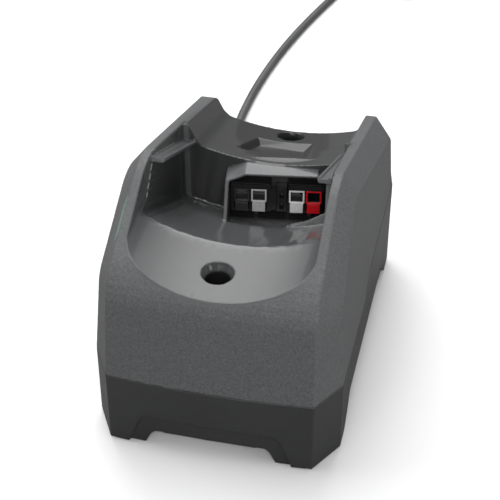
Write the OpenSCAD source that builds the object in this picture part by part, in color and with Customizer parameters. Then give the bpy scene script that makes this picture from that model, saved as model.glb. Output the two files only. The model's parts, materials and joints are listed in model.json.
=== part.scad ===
// Desktop battery charger: a cradle that a battery slides into, on a base with four feet.
// The origin is at the middle of the underside, the front faces -Y and +Z is up.

/* [Body] */
// Depth of the housing, front to back
body_d = 184; // [180:1:190]
// Width of the lower housing, across its sides
body_w = 122.4; // [120:0.2:125]
// Width of the flat part of the front face
front_w = 101; // [98:0.5:104]
// Depth of the slanted front corners
corner_d = 18.6; // [16:0.2:21]
// Depth of the slanted rear corners
rear_corner_d = 5; // [4:0.5:8]
// How far the front face bows out at its middle
front_bow = 2.6; // [1.6:0.2:3.4]
// Height of the seam between the housings at the front
seam_z = 41; // [39:0.5:43]
// Height of the seam behind its step
seam_rear_z = 53.5; // [50:0.5:56]
// Wall thickness of both housings
wall = 2.4; // [2:0.1:2.6]

/* [Rim] */
// Height of the brow, where the front face turns into the rim
brow_z = 92.4; // [90:0.2:95]
// How far the brow lies behind the front face
brow_y = 8.7; // [7:0.1:10]
// Height of the rim's knee before it is rounded
knee_z = 127; // [124:0.5:130]
// Distance of the knee from the front face
knee_y = 66.7; // [62:0.5:70]
// Height of the rim at the rear
ear_z = 92.8; // [91:0.2:96]
// Radius of the brow
brow_r = 28; // [22:1:30]
// Radius of the knee
knee_r = 28; // [20:1:34]
// How far the rim's outer edge leans in over 100 mm of height
rim_lean = 2.4; // [1:0.2:4]
// Drop from the rim's outer edge to the edge of the side
flank_drop = 10.5; // [9:0.5:12]
// How far the side leans in over 100 mm of height
side_lean = 6.6; // [5:0.2:8]

/* [Cradle] */
// Half of the distance between the cradle's walls
cradle_w = 43.5; // [42:0.5:44]
// Radius of the fillets along the ramp
ramp_r = 14; // [12:0.5:16]
// Radius of the fillets along the slide
slide_r = 4; // [3:0.5:6]
// Radius of the dish across the ramp and the crest
dish_r = 94; // [88:2:110]
// Radius of the dish where the slide meets the back wall
slide_dish_r = 210; // [160:10:260]
// Distance of the crest from the front face
crest_y = 49.4; // [47:0.2:52]
// Height of the crest at its middle
crest_z = 93.4; // [92:0.2:95]
// Slope of the ramp in front of the crest, in degrees
ramp_slope = 5.5; // [4:0.5:7]
// Slope of the slide behind the crest, in degrees
slide_slope = 25.1; // [24:0.1:26]
// Distance of the back wall from the front face
back_wall_y = 125; // [122:0.5:128]
// Height of the deck at the back wall
deck_z = 91.7; // [90:0.1:93]
// Slope of the deck, in degrees
deck_slope = 14.6; // [13:0.2:16]
// Radius of the dish across the deck
deck_dish_r = 130; // [110:5:150]
// Radius of the fillets along the deck
deck_r = 10; // [8:0.5:12]
// Slope of the ears' inner faces, in degrees
ear_slope = 63; // [60:1:70]
// Radius of the pocket's upright corners
pocket_r = 6; // [4:0.5:8]

/* [Base] */
// Half of the front arch's width at the floor
arch_w = 40.9; // [38:0.1:43]
// Height of the front arch
arch_z = 19.3; // [17:0.1:21]
// Width of the recessed band that frames each arch
band_w = 8; // [6:0.5:9]
// Depth of that band
band_d = 1.8; // [1:0.1:2.2]
// Height of the side arches
side_arch_z = 15.8; // [13:0.1:18]
// Distance of a side arch's front foot from the front face
side_arch_y = 33; // [31:0.5:36]
// Distance of a side arch's rear foot from the rear face
side_arch_rear = 16; // [14:0.5:19]
// Height of the floor plate's upper face
floor_z = 13; // [12:0.5:14]
// Diameter of the rubber feet
foot_d = 13; // [11:0.5:15]
// How far the rubber feet stand out
foot_out = 0.6; // [0.4:0.1:1]

/* [Screw wells] */
// Diameter of the wells for the wall screws
well_d = 11.6; // [10:0.2:12.4]
// Diameter of a well at its mouth
well_mouth_d = 15.4; // [14:0.2:17]
// Diameter of the screw holes at the bottom of the wells
screw_hole_d = 5.5; // [4.5:0.1:6]
// Distance of the front well from the front face
front_well_y = 28.4; // [26:0.2:30]
// Distance of the rear well from the rear face
rear_well_y = 9.6; // [9.4:0.2:12]
// How far the rear well lies to the right of the middle
rear_well_x = 3.6; // [0:0.2:6]

/* [Contacts] */
// Width of the hood around the contacts
hood_w = 56.8; // [55:0.2:58]
// Height of the hood
hood_h = 31.4; // [30.4:0.2:32]
// Height of the hood's underside
hood_z = 59.6; // [58:0.2:61]
// How far the middle of the hood lies to the right
hood_x = 10.4; // [9:0.2:11]
// How far the hood is turned about the vertical, in degrees
hood_turn = 9; // [6:0.5:10]
// Outer size of one contact housing
contact_w = 8.1; // [7.8:0.1:8.3]
// Thickness of a contact housing's frame
contact_t = 0.9; // [0.7:0.1:1.1]

/* [Cord] */
// Diameter of the power cord
cord_d = 5.4; // [5:0.1:6]
// Length of the strain relief outside the housing
relief_l = 32; // [28:1:36]
// Height of the cord where it leaves the housing
cord_z = 21; // [19:0.5:24]
// Distance of the cord's exit from the left side
cord_side = 15.2; // [14:0.2:18]
// Turns of the cord in the lower layer of the coil
coil_turns = 4; // [3:1:5]

/* [Fits] */
// Gap between parts that slide into each other
gap = 0.2; // [0.1:0.05:0.3]
// Thickness of the circuit board
board_t = 1.6; // [1.2:0.1:2]

/* [Hidden] */
$fn = 48;
eps = 0.01;
far = 400;
front_y = -body_d / 2;
rear_y = body_d / 2;
side_w = body_w / 2;
rim_w = front_w / 2;
front_plane = front_y + front_bow;
crest = [front_y + crest_y, crest_z];
cord_x = side_w - cord_side;
back_y = front_y + back_wall_y;
front_well = [-1.2, front_y + front_well_y];
rear_well = [rear_well_x, rear_y - rear_well_y];
arc_steps = 6;

function unit(v) = v / norm(v);
function turned(v, a) = [v[0] * cos(a) - v[1] * sin(a), v[0] * sin(a) + v[1] * cos(a)];
function left_of(v) = [-v[1], v[0]];
function cross2(a, b) = a[0] * b[1] - a[1] * b[0];

// The corner b of the path a, b, c, rounded with radius r in n steps
function rounded(a, b, c, r, n = arc_steps) =
    let (u = unit(a - b), v = unit(c - b), half = acos(u * v) / 2,
         m = b + unit(u + v) * r / sin(half),
         s = b + u * r / tan(half) - m, e = b + v * r / tan(half) - m,
         sweep = sign(cross2(s, e)) * acos(s * e / (r * r)))
    [for (i = [0:n]) m + turned(s, sweep * i / n)];

// An open path with its inner corners rounded; its two ends stay as they are
function round_path(p, r, n = arc_steps) = concat([p[0]],
    [for (i = [1:len(p) - 2]) each rounded(p[i - 1], p[i], p[i + 1], r[i - 1], n)], [p[len(p) - 1]]);

// A closed outline with every corner rounded
function round_outline(p, r, n = arc_steps) =
    let (k = len(p)) [for (i = [0:k - 1]) each rounded(p[(i + k - 1) % k], p[i], p[(i + 1) % k], r[i], n)];

// Where the line a, b crosses the line c, d
function crossing(a, b, c, d) =
    let (u = b - a, v = d - c) a + u * cross2(c - a, v) / cross2(u, v);

// An open path moved sideways by d, to its right when d is above zero
function inset_path(p, d) =
    let (k = len(p),
         shift = [for (i = [0:k - 2]) -left_of(unit(p[i + 1] - p[i])) * d])
    [for (i = [0:k - 1]) i == 0 ? p[0] + shift[0]
        : i == k - 1 ? p[i] + shift[i - 1]
        : crossing(p[i - 1] + shift[i - 1], p[i] + shift[i - 1], p[i] + shift[i], p[i + 1] + shift[i])];

// A closed outline that runs anticlockwise, pulled in by d
function inset_outline(p, d) =
    let (k = len(p), shift = [for (i = [0:k - 1]) left_of(unit(p[(i + 1) % k] - p[i])) * d])
    [for (i = [0:k - 1])
        let (h = (i + k - 1) % k)
        crossing(p[h] + shift[h], p[i] + shift[h], p[i] + shift[i], p[(i + 1) % k] + shift[i])];

// A solid skinned over rings of equal length
module skin(rings) {
    n = len(rings[0]);
    k = len(rings);
    polyhedron(
        points = [for (ring = rings) each ring],
        faces = concat(
            [[for (j = [n - 1:-1:0]) j]],
            [for (i = [0:k - 2], j = [0:n - 1]) each
                [[i * n + j, (i + 1) * n + (j + 1) % n, (i + 1) * n + j],
                 [i * n + j, i * n + (j + 1) % n, (i + 1) * n + (j + 1) % n]]],
            [[for (j = [0:n - 1]) (k - 1) * n + j]]));
}

// A profile drawn in Y and Z, extruded along X from x0 to x1
module along_x(x0, x1) {
    translate([x0, 0, 0]) rotate([90, 0, 90]) linear_extrude(x1 - x0) children();
}

// A profile drawn in X and Z, extruded along Y from y0 to y1
module along_y(y0, y1) {
    translate([0, y1, 0]) rotate([90, 0, 0]) linear_extrude(y1 - y0) children();
}

module upright(z0, z1) {
    translate([0, 0, z0]) linear_extrude(z1 - z0) children();
}

module mirrored_x() {
    children();
    mirror([1, 0, 0]) children();
}

// Directions square to each of the tangents t, carried along a path from the direction s
function carried(t, s, i = 0) =
    i == len(t) ? [] : let (n = unit(s - t[i] * (s * t[i]))) concat([n], carried(t, n, i + 1));

// Points between the points of a route, on a smooth curve through them
function smooth(p, n) = let (k = len(p) - 1) concat([for (i = [0:k - 1], j = [0:n - 1])
    let (a = p[max(i - 1, 0)], b = p[i], c = p[i + 1], d = p[min(i + 2, k)], t = j / n)
    b + t * ((c - a) + t * ((2 * a - 5 * b + 4 * c - d) + t * (3 * b - a - 3 * c + d))) / 2], [p[k]]);

// A tube of diameter d swept along a path; s is a direction square to its start
module tube(path, d, s, sides = 8) {
    k = len(path) - 1;
    tangent = [for (i = [0:k]) unit(path[min(i + 1, k)] - path[max(i - 1, 0)])];
    side = carried(tangent, s);
    skin([for (i = [0:k]) let (up = cross(tangent[i], side[i]))
        [for (j = [0:sides - 1]) let (a = -360 * j / sides)
            path[i] + (side[i] * cos(a) + up * sin(a)) * d / 2]]);
}

// A child in the frame with its origin at p, its X along x and its Z along z
module in_frame(p, x, z) {
    y = cross(z, x);
    multmatrix([[x[0], y[0], z[0], p[0]], [x[1], y[1], z[1], p[1]], [x[2], y[2], z[2], p[2]]]) children();
}

// The rim follows two side profiles, one at the rim's outer edge and one at the edge of the side,
// lower and further in. Both run from the front, over brow and knee, to the rear.
side_brow_in = 4.4;
side_brow_up = 2.3;
side_knee_in = 2;
ear_up = 0.6;
side_brow_r = 12;
side_knee_r = 20;
ear_r = 4;
function rim_corners(bow, z0) = [
    [front_plane - bow, z0], [front_y + brow_y - 0.6 * bow, brow_z],
    [front_y + knee_y, knee_z], [rear_y, ear_z], [rear_y, z0]];
function side_corners(z0) = [
    [front_plane + corner_d, z0], [front_plane + corner_d + side_brow_in, brow_z - flank_drop + side_brow_up],
    [front_y + knee_y + side_knee_in, knee_z - flank_drop],
    [rear_y - rear_corner_d, ear_z - flank_drop + ear_up], [rear_y - rear_corner_d, z0]];
function rim_x(z) = rim_w - (z - seam_z) * rim_lean / 100;
function side_x(z) = side_w - (z - seam_z) * side_lean / 100;

// The closed form of the upper housing, pulled in by d on all sides but the bottom
module body_form(d = 0, z0 = seam_z) {
    function on_side(p, x) = [x, p[0], p[1]];
    side = round_path(inset_path(side_corners(z0), d), [side_brow_r - d, side_knee_r - d, ear_r]);
    skin(concat(
        [[for (p = side) on_side(p, d - side_x(p[1]))]],
        [for (i = [-arc_steps:arc_steps])
            let (t = i / arc_steps,
                 rim = round_path(inset_path(rim_corners(front_bow * (1 - t * t), z0), d),
                     [brow_r - d, knee_r - d, ear_r]))
            [for (p = rim) on_side(p, t * (rim_x(p[1]) - d))]],
        [[for (p = side) on_side(p, side_x(p[1]) - d)]]));
}

// The band along each side that flares out to meet the lower housing, under a crease through these
// points, each a distance behind the front face and a height
flare_crease = [[85, 72], [95, 79], [138, 67.3], [171, 63.7], [179, 62.7]];
flare_seam = [seam_z, seam_rear_z, seam_rear_z, seam_rear_z, seam_rear_z];
module flare() {
    skin([for (i = [0:len(flare_crease) - 1])
        let (y = min(front_y + flare_crease[i][0], rear_y - rear_corner_d), z = flare_crease[i][1])
        [[side_x(z) - 0.15, y, z], [side_w - 3, y, flare_seam[i] - 0.5], [side_w, y, flare_seam[i] - 0.5]]]);
}

// The plan of the lower housing, pulled in by d
module base_plan(d = 0) {
    bowed = [for (i = [-arc_steps:arc_steps])
        let (t = i / arc_steps) [t * rim_w, front_plane - front_bow * (1 - t * t)]];
    outline = concat(bowed, [[side_w, front_plane + corner_d], [side_w, rear_y - rear_corner_d],
        [rim_w, rear_y], [-rim_w, rear_y], [-side_w, rear_y - rear_corner_d], [-side_w, front_plane + corner_d]]);
    polygon(inset_outline(outline, d));
}

// The seam climbs a step on each side, from its height at the front to its height at the rear
step_y = [front_y + 87, front_y + 96];
module below_seam(d = 0) {
    along_x(-far, far) polygon([[-far, -far], [far, -far], [far, seam_rear_z - d],
        [step_y[1], seam_rear_z - d], [step_y[0], seam_z - d], [-far, seam_z - d]]);
}

// The cross-section of a trough at s along its slope, grown by g: a shallow dish, then fillets of
// radius r up to a given turn at half of the width, then walls that lean out
function trough_ring(s, dish, r, half, turn, lean, g) =
    let (mid = half - r * sin(turn),
         edge = asin(mid / (dish - r)),
         up = dish - (dish - r) * cos(edge),
         curve = concat(
             [for (i = [0:5]) let (a = edge * i / 5) [(dish + g) * sin(a), dish - (dish + g) * cos(a)]],
             [for (i = [1:8]) let (a = edge + (turn - edge) * i / 8)
                 [mid + (r + g) * sin(a), up - (r + g) * cos(a)]]),
         end = curve[len(curve) - 1],
         right = concat(curve, [[end[0] + far * tan(lean), end[1] + far]]))
    concat([for (p = right) [p[0], s, p[1]]],
        [for (i = [len(right) - 1:-1:1]) [-right[i][0], s, right[i][1]]]);

// A trough along a slope through the point at, between two places along it, each with its own dish
module trough(at, slope, places, dishes, r, half, g, turn = 90, lean = 0) {
    translate([at[0], at[1], at[2]]) rotate([slope, 0, 0])
        skin([for (i = [0, 1]) trough_ring(places[i], dishes[i], r, half, turn, lean, g)]);
}

// Everything that the battery's space takes out of the housing, grown by g. The ramp is a little wider
// than the slide and ends behind the crest, at a step in the walls that leans back.
ramp_wide = 0.8;
ramp_turn = 54;
ramp_over = 8.6;
deck_x = 2.5;
deck_w = 39.9;
module cradle(g = 0) {
    end_y = crest[0] + ramp_over;
    end_z = crest[1] + 12;
    intersection() {
        trough([0, crest[0], crest[1]], ramp_slope, [-far / 2, far / 2], [dish_r, dish_r],
            ramp_r, cradle_w + ramp_wide, g, ramp_turn);
        along_x(-far, far) polygon([[-far, 0], [end_y, 0], [end_y, end_z], [end_y + 24, end_z + 28],
            [end_y + 24, far], [-far, far]]);
    }
    intersection() {
        trough([0, crest[0], crest[1]], -slide_slope, [-30, 110], [dish_r, slide_dish_r],
            slide_r, cradle_w, g);
        upright(0, far) polygon(round_outline([[-cradle_w - g, -far / 2], [cradle_w + g, -far / 2],
            [cradle_w + g, back_y + g], [-cradle_w - g, back_y + g]],
            [1, 1, pocket_r + g, pocket_r + g]));
    }
    intersection() {
        trough([deck_x, back_y, deck_z], -deck_slope, [-far / 2, far / 2], [deck_dish_r, deck_dish_r],
            deck_r, deck_w, g, ear_slope, 90 - ear_slope);
        upright(0, far) translate([-far, back_y - 1]) square([far + cradle_w + g, far]);
    }
}

// Places a child in the frame of the contacts: X along their row, Y into the housing, Z up
hood_out = 6.5;
module at_contacts() {
    translate([hood_x, back_y - hood_out, hood_z]) rotate([0, 0, hood_turn]) children();
}

// The hood's outline, its middle a little to the left of the contacts' middle
hood_depth = 15;
hood_lip = 2.2;
hood_off = 1.1;
hood_side = hood_w / 2;
hood_step = 2.4;
hood_wall = 2;
hood_edge = 1.1;
module hood_outline() {
    translate([-hood_off, 0]) polygon([[-hood_side, 0], [hood_side, 0], [hood_side, hood_h - 0.6],
        [hood_side - 6.8, hood_h - 0.6], [hood_side - 8, hood_h - hood_step], [hood_side - 8.9, hood_h],
        [-hood_side + 10.4, hood_h], [-hood_side + 5.6, hood_h - hood_step],
        [-hood_side, hood_h - hood_step - 2.2]]);
}
module hood_opening(g = 0) {
    left = -hood_side + hood_wall + g;
    right = hood_side - 4.7 - g;
    top = hood_h - hood_edge - g;
    translate([-hood_off, 0]) polygon([[left, hood_wall + g], [right, hood_wall + g],
        [right, top - hood_step - 0.8], [hood_side - 8.6, top - hood_step - 0.8], [hood_side - 9.6, top],
        [-hood_side + 10.9, top], [-hood_side + 6.1, top - hood_step], [left, top - hood_step - 1.6]]);
}

// The well in front of the contacts, grown by g. It runs from the lip in the slide through the hood.
hood_reach = 19;
module hood_tub(g = 0) {
    front = -hood_reach - g;
    intersection() {
        along_y(front - 1, hood_depth + (g > 0 ? 0 : 0.5)) hood_opening(-g);
        upright(-far / 2, far / 2) polygon([[-far, front], [2, front], [13, front + 2], [22, front + 5.4],
            [40, front + 9], [40, far], [-far, far]]);
    }
}

// The hood, whose cheeks run down to the slide on each side of that well
module hood() {
    intersection() {
        along_y(-hood_reach, hood_depth) hood_outline();
        along_x(-far / 2, far / 2) polygon([[-hood_lip, far / 2], [-hood_lip, hood_h - hood_step - 2.2],
            [-hood_reach, 12.6], [-hood_reach, -5], [hood_depth, -5], [hood_depth, far / 2]]);
    }
}

// The rail that guides the battery along the slide, with a ridge at the wall, a shallow channel and a
// raised lip
rail_y = back_y - 56;
rail_z = 123.9;
rail_l = 73;
rail_in = 6.5;
rail_slope = 23.2;
module rail() {
    lip = cradle_w - rail_in;
    translate([0, rail_y, rail_z]) rotate([-rail_slope, 0, 0]) intersection() {
        along_y(0, rail_l) polygon([[cradle_w + 1, 0.5], [cradle_w - 1, 0.5], [cradle_w - 1.9, -0.4],
            [lip + 2, -0.5], [lip + 1.3, 0.3], [lip + 0.3, 0.3], [lip, -0.1], [lip, -1.5], [lip + 0.8, -2.3],
            [cradle_w + 1, -2.3]]);
        upright(-9, 9) polygon([[cradle_w + 2, 0], [lip + 0.6, 0], [lip - 1, 1.2],
            [lip - 1, rail_l], [lip + 0.4, rail_l], [cradle_w + 2, rail_l - 8]]);
    }
}

// The recess in the deck, in the deck's own slope, and the pad that backs it
recess_depth = 2.6;
recess_mouth = [[-20, 13.8], [-7.4, 12.8], [22.7, 11.6], [19.3, 42.5], [-13.4, 40.1]];
recess_floor = [[-15, 20], [-6, 19], [17.5, 18], [14.1, 33.4], [-10.5, 35.3]];
module on_deck() {
    translate([0, back_y, deck_z]) rotate([-deck_slope, 0, 0]) children();
}
module recess() {
    on_deck() hull() {
        upright(2.4, 3) polygon(recess_mouth);
        upright(-recess_depth, -recess_depth + 0.1) polygon(recess_floor);
    }
}
module recess_pad() {
    on_deck() translate([-23, 10, -recess_depth - 2]) cube([48, 33, 4]);
}

// The light guide lies in the left flank, just under the rim. Its frame has X along the rim, Y down
// the flank and Z out of it.
light_l = 24;
light_w = 3.6;
light_t = 2.2;
light_y = front_y + 37.4;
function left_point(p, x) = [-x, p[0], p[1]];
rim_line = rim_corners(0, seam_z);
side_line = side_corners(seam_z);
brow_end = rounded(rim_line[0], rim_line[1], rim_line[2], brow_r)[arc_steps];
knee_start = rounded(rim_line[1], rim_line[2], rim_line[3], knee_r)[0];
side_brow_end = rounded(side_line[0], side_line[1], side_line[2], side_brow_r)[arc_steps];
rim_from = left_point(brow_end, rim_x(brow_end[1]));
rim_to = left_point(knee_start, rim_x(knee_start[1]));
flank_from = left_point(side_brow_end, side_x(side_brow_end[1]));
light_part = (light_y - rim_from[1]) / (rim_to[1] - rim_from[1]);
module at_light_guide() {
    along = unit(rim_to - rim_from);
    out = unit(cross(along, flank_from - rim_from));
    in_frame(rim_from + light_part * (rim_to - rim_from), along, out) children();
}
module light_shape(g, t) {
    translate([0, 0.8, -t]) linear_extrude(t)
        polygon([[-light_l / 2 - g, light_w + g], [-light_l / 2 + 3.4 - g, -g],
            [light_l / 2 + g, -g], [light_l / 2 - 3.4 + g, light_w + g]]);
}
lamp_y = 10.4;
lamp_z = -light_t - 2.4;
module lamp_rib() {
    at_light_guide() translate([-8, lamp_y + 5, -9]) cube([16, 1.6, 8]);
}

well_wall = 2.2;
module well_tube(at, z1) {
    translate([at[0], at[1], floor_z]) cylinder(d = well_d + 2 * well_wall, h = z1 - floor_z);
}
module well_bore(at, mouth_z) {
    r = well_d / 2;
    mouth_r = well_mouth_d / 2;
    translate([at[0], at[1], 0]) rotate_extrude() polygon([[0, floor_z - 1], [r, floor_z - 1],
        [r, mouth_z - 4], [mouth_r, mouth_z], [mouth_r, far], [0, far]]);
}

boss_d = 8;
boss_pilot = 2.8;
boss_z = 24;
boss_x = side_w - wall - boss_d / 2 - gap;
boss_at = [[boss_x, front_y + 26], [boss_x, rear_y - 14], [-boss_x, front_y + 26], [-boss_x, rear_y - 14]];
module boss() {
    for (p = boss_at) translate([p[0], p[1], boss_z]) cylinder(d = boss_d, h = 34);
}

module upper_housing() {
    color("dimgray") difference() {
        union() {
            difference() {
                union() {
                    body_form();
                    mirrored_x() flare();
                }
                below_seam();
                cradle();
                difference() {
                    body_form(wall, seam_z - 5);
                    cradle(wall);
                    recess_pad();
                    lamp_rib();
                    well_tube(front_well, crest_z);
                    well_tube(rear_well, crest_z);
                    at_contacts() hood_tub(hood_wall);
                }
            }
            at_contacts() hood();
            mirrored_x() rail();
            well_tube(front_well, crest_z - 14);
            intersection() {
                well_tube(rear_well, deck_z - 20);
                upright(0, far) base_plan(wall + gap);
            }
            boss();
        }
        at_contacts() hood_tub();
        recess();
        well_bore(front_well, crest_z - 2);
        well_bore(rear_well, deck_z - 12.9);
        for (p = boss_at) translate([p[0], p[1], boss_z - 1]) cylinder(d = boss_pilot, h = 22);
        at_light_guide() {
            translate([0, 0, 1]) light_shape(gap / 2, light_t + 3);
            light_leg(gap);
        }
    }
}

front_arch_slope = 7.4;
side_arch_slope = [14, 19];
band_h = 10;
arch_r = 4.5;
module front_arch(d = 0) {
    b = arch_w - d * band_w / band_h;
    t = b - front_arch_slope + (d > 0 ? 3 : 0);
    z = arch_z - d;
    polygon(round_outline([[-b, 0], [-b - 1, -9], [b + 1, -9], [b, 0], [t, z], [-t, z]],
        [0.5, 1, 1, 0.5, arch_r, arch_r]));
}
module side_arch(d = 0) {
    a = front_y + side_arch_y + d * band_w / band_h;
    b = rear_y - side_arch_rear - d * band_w / band_h;
    z = side_arch_z - d * 0.8;
    polygon(round_outline([[b, 0], [b - side_arch_slope[1] + d * 0.4, z], [a + side_arch_slope[0] - d * 0.4, z],
        [a, 0], [a - 1, -9], [b + 1, -9]], [0.5, arch_r, arch_r, 0.5, 1, 1]));
}

pod_x = arch_w + 2.5;
pod_y = side_arch_y - 3;
gland_hole_d = 9.4;
gland_pad = 2.4;
gland_in = wall + gland_pad;
gland_flange = 2.4;
module lower_housing() {
    color("dimgray") difference() {
        union() {
            difference() {
                upright(foot_out, far) base_plan();
                difference() {
                    upright(floor_z, far) base_plan(wall);
                    for (p = boss_at) translate([p[0], p[1], 0]) cylinder(d = boss_d + 2, h = boss_z);
                    for (p = board_posts) translate([p[0], p[1], 0]) cylinder(d = 7, h = board_z);
                    translate([-cord_x, clamp_y, 0]) upright(0, cord_z - 2)
                        translate([-10, -4]) square([20, 8]);
                    translate([-cord_x, rear_y - wall - gland_pad, 0]) upright(cord_z - 7, cord_z + 7)
                        translate([-7, 0]) square([14, 9]);
                }
                difference() {
                    along_y(-far, far) front_arch();
                    upright(-far, far) base_plan(band_d);
                }
                difference() {
                    along_x(-far, far) side_arch();
                    upright(-far, far) base_plan(band_d);
                }
                along_y(-far, far) front_arch(band_h);
                along_x(-far, far) side_arch(band_h);
                mirrored_x() for (box = [[front_y + 9, front_y + pod_y], [rear_y - 13, rear_y - 9]])
                    intersection() {
                        upright(3, floor_z + eps) base_plan(wall);
                        upright(3, floor_z + eps) translate([pod_x, box[0]]) square([far, box[1] - box[0]]);
                    }
            }
            for (p = boss_at) translate([p[0], p[1], foot_out]) cylinder(d = boss_d + 2, h = boss_z - foot_out);
        }
        difference() {
            upright(0, far) base_plan(-5);
            below_seam();
        }
        for (p = boss_at) translate([p[0], p[1], 0]) {
            cylinder(d = screw_head_d + 1, h = boss_z - 8);
            cylinder(d = 3.8, h = far);
        }
        for (p = board_posts) translate([p[0], p[1], floor_z + 0.5]) cylinder(d = 2.4, h = 20);
        for (w = [front_well, rear_well]) translate([w[0], w[1], 0]) cylinder(d = screw_hole_d, h = far);
        for (p = foot_at) translate([p[0], p[1], 0]) cylinder(d = foot_d + 2 * gap, h = 2);
        translate([-cord_x, 0, cord_z]) rotate([-90, 0, 0]) cylinder(d = gland_hole_d, h = far);
        translate([-cord_x, clamp_y - 5, cord_z]) rotate([-90, 0, 0]) cylinder(d = cord_d - 0.3, h = 10);
        for (x = [-7, 7]) translate([x - cord_x, clamp_y, floor_z + 0.5]) cylinder(d = 2.4, h = far);
    }
}

module light_leg(g = 0) {
    translate([-3 - g, 1.6 - g, lamp_z - 0.9 - g]) cube([6 + 2 * g, 2.4 + 2 * g, 3.4 + g]);
    translate([-3 - g, 1.6 - g, lamp_z - 0.9 - g]) cube([6 + 2 * g, lamp_y - 1.6 + g, 2 + 2 * g]);
}
module light_guide() {
    color([0.35, 0.62, 0.45]) at_light_guide() {
        light_shape(0, light_t);
        light_leg();
    }
}

frame_back = 10;
module terminal_frame() {
    color([0.13, 0.13, 0.14]) at_contacts() intersection() {
        along_y(0, frame_back + 3) hood_opening(gap);
        terminal_blocks();
    }
}
module terminal_blocks() {
    difference() {
        union() {
            along_y(frame_back, frame_back + 3) hood_opening(gap);
            along_y(3, frame_back + 1) {
                translate([-27.2, 5]) square([21.2, 17.4]);
                translate([3.3, 5]) square([18.9, 17.6]);
                translate([-6.1, 6]) square([2.9, 13.6]);
            }
            along_y(1.6, 4) {
                translate([-27, 19.8]) square([20.8, 2.5]);
                translate([3.4, 19.8]) square([18.6, 2.7]);
            }
            for (u = [-13.9, 14.4]) translate([u, 6, hood_wall + gap]) cylinder(d = 4.7, h = 3.4);
        }
        for (u = contact_u) translate([u, 0, 0]) {
            along_y(0, frame_back) translate([-contact_w / 2 - gap, row_z - gap])
                square([contact_w + 2 * gap, row_h + 2 * gap]);
            translate([-2.6, 0, row_z + row_h - 4.2]) cube([5.2, 40, 1.2]);
        }
        translate([data_u - 2.6 - gap, frame_back - 1, row_z - 1.2 - gap])
            cube([5.2 + 2 * gap, 10, row_h + 1 + 2 * gap]);
    }
}

contact_u = [-21.3, -12.3, 7.5, 16.4];
row_z = 6.4;
row_h = 12.8;
tongue_h = 5.2;
module contact_housing(u) {
    at_contacts() translate([u, 0, 0]) difference() {
        union() {
            along_y(2.2, frame_back) translate([-contact_w / 2, row_z + tongue_h])
                square([contact_w, row_h - tongue_h]);
            along_y(0.6, frame_back) translate([-contact_w * 0.42, row_z]) square([contact_w * 0.84, tongue_h]);
        }
        translate([-contact_w / 2 + contact_t, 0, row_z + tongue_h + contact_t])
            cube([contact_w - 2 * contact_t, frame_back - 1.4, row_h - tongue_h - 2 * contact_t]);
        translate([-2.6, 0, row_z + row_h - 4.2]) cube([5.2, 40, 1.2]);
        translate([0, 1, row_z + 2.9]) rotate([90, 0, 0]) linear_extrude(2)
            polygon([[-0.9, 1], [0.9, 1], [0, -1]]);
    }
}
module contact_dark() { color([0.22, 0.22, 0.23]) contact_housing(contact_u[0]); }
module contact_grey() { color([0.72, 0.72, 0.72]) contact_housing(contact_u[1]); }
module contact_white() { color([0.93, 0.93, 0.93]) contact_housing(contact_u[2]); }
module contact_red() { color([0.9, 0.1, 0.1]) contact_housing(contact_u[3]); }

module contact_blades() {
    color([0.8, 0.7, 0.45]) at_contacts() for (u = contact_u)
        translate([u - 2.5, 6.5, row_z + row_h - 4.1]) cube([5, 12, 1]);
}

data_u = -0.4;
pin_w = [row_z + 1.7, row_z + 8.3];
module data_connector() {
    color([0.15, 0.15, 0.16]) at_contacts() difference() {
        along_y(3.2, frame_back + 3) translate([data_u - 2.6, row_z - 1.2]) square([5.2, row_h + 1]);
        for (w = pin_w) translate([data_u, 3, w]) {
            translate([-1.1, 0, -1.6]) cube([2.2, 6, 3.2]);
            rotate([-90, 0, 0]) cylinder(d = 0.9, h = 20);
        }
    }
}
module data_pins() {
    color([0.8, 0.7, 0.45]) at_contacts() for (w = pin_w)
        translate([data_u, 5, w]) rotate([-90, 0, 0]) cylinder(d = 0.9, h = 12);
}

board_z = floor_z + 5;
board_top = board_z + board_t;
board_size = [100, body_d - 70];
board_mid = [0, 4];
board_front = board_mid[1] - board_size[1] / 2;
board_rear = board_mid[1] + board_size[1] / 2;
board_posts = [for (x = [-44, 44], y = [board_front + 7, board_rear - 7]) [x, y]];
clamp_y = board_rear + 7;
screw_head_d = 6.4;
foot_at = [for (x = [-46, 46], y = [front_y + 17, rear_y - 11]) [x, y]];

module circuit_board() {
    color([0.1, 0.35, 0.2]) difference() {
        translate([board_mid[0] - board_size[0] / 2, board_mid[1] - board_size[1] / 2, board_z])
            cube([board_size[0], board_size[1], board_t]);
        for (p = board_posts) translate([p[0], p[1], 0]) cylinder(d = 3.2, h = far);
    }
}
module screw(l, d, head_d, head_h) {
    cylinder(d = d, h = l);
    translate([0, 0, -head_h]) difference() {
        cylinder(d = head_d, h = head_h);
        translate([0, 0, -eps]) linear_extrude(head_h * 0.6) {
            square([head_d * 0.55, head_d * 0.14], center = true);
            square([head_d * 0.14, head_d * 0.55], center = true);
        }
    }
}
module board_screws() {
    color("silver") {
        for (p = board_posts) translate([p[0], p[1], board_top]) mirror([0, 0, 1]) screw(6, 2.4, 5.4, 2);
        for (x = [-7, 7]) translate([x - cord_x, clamp_y, cord_z + 5]) mirror([0, 0, 1]) screw(12, 2.4, 5, 2);
    }
}
module housing_screws() {
    color("silver") for (p = boss_at) translate([p[0], p[1], boss_z - 8]) screw(22, boss_pilot, screw_head_d, 2.4);
}

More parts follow.
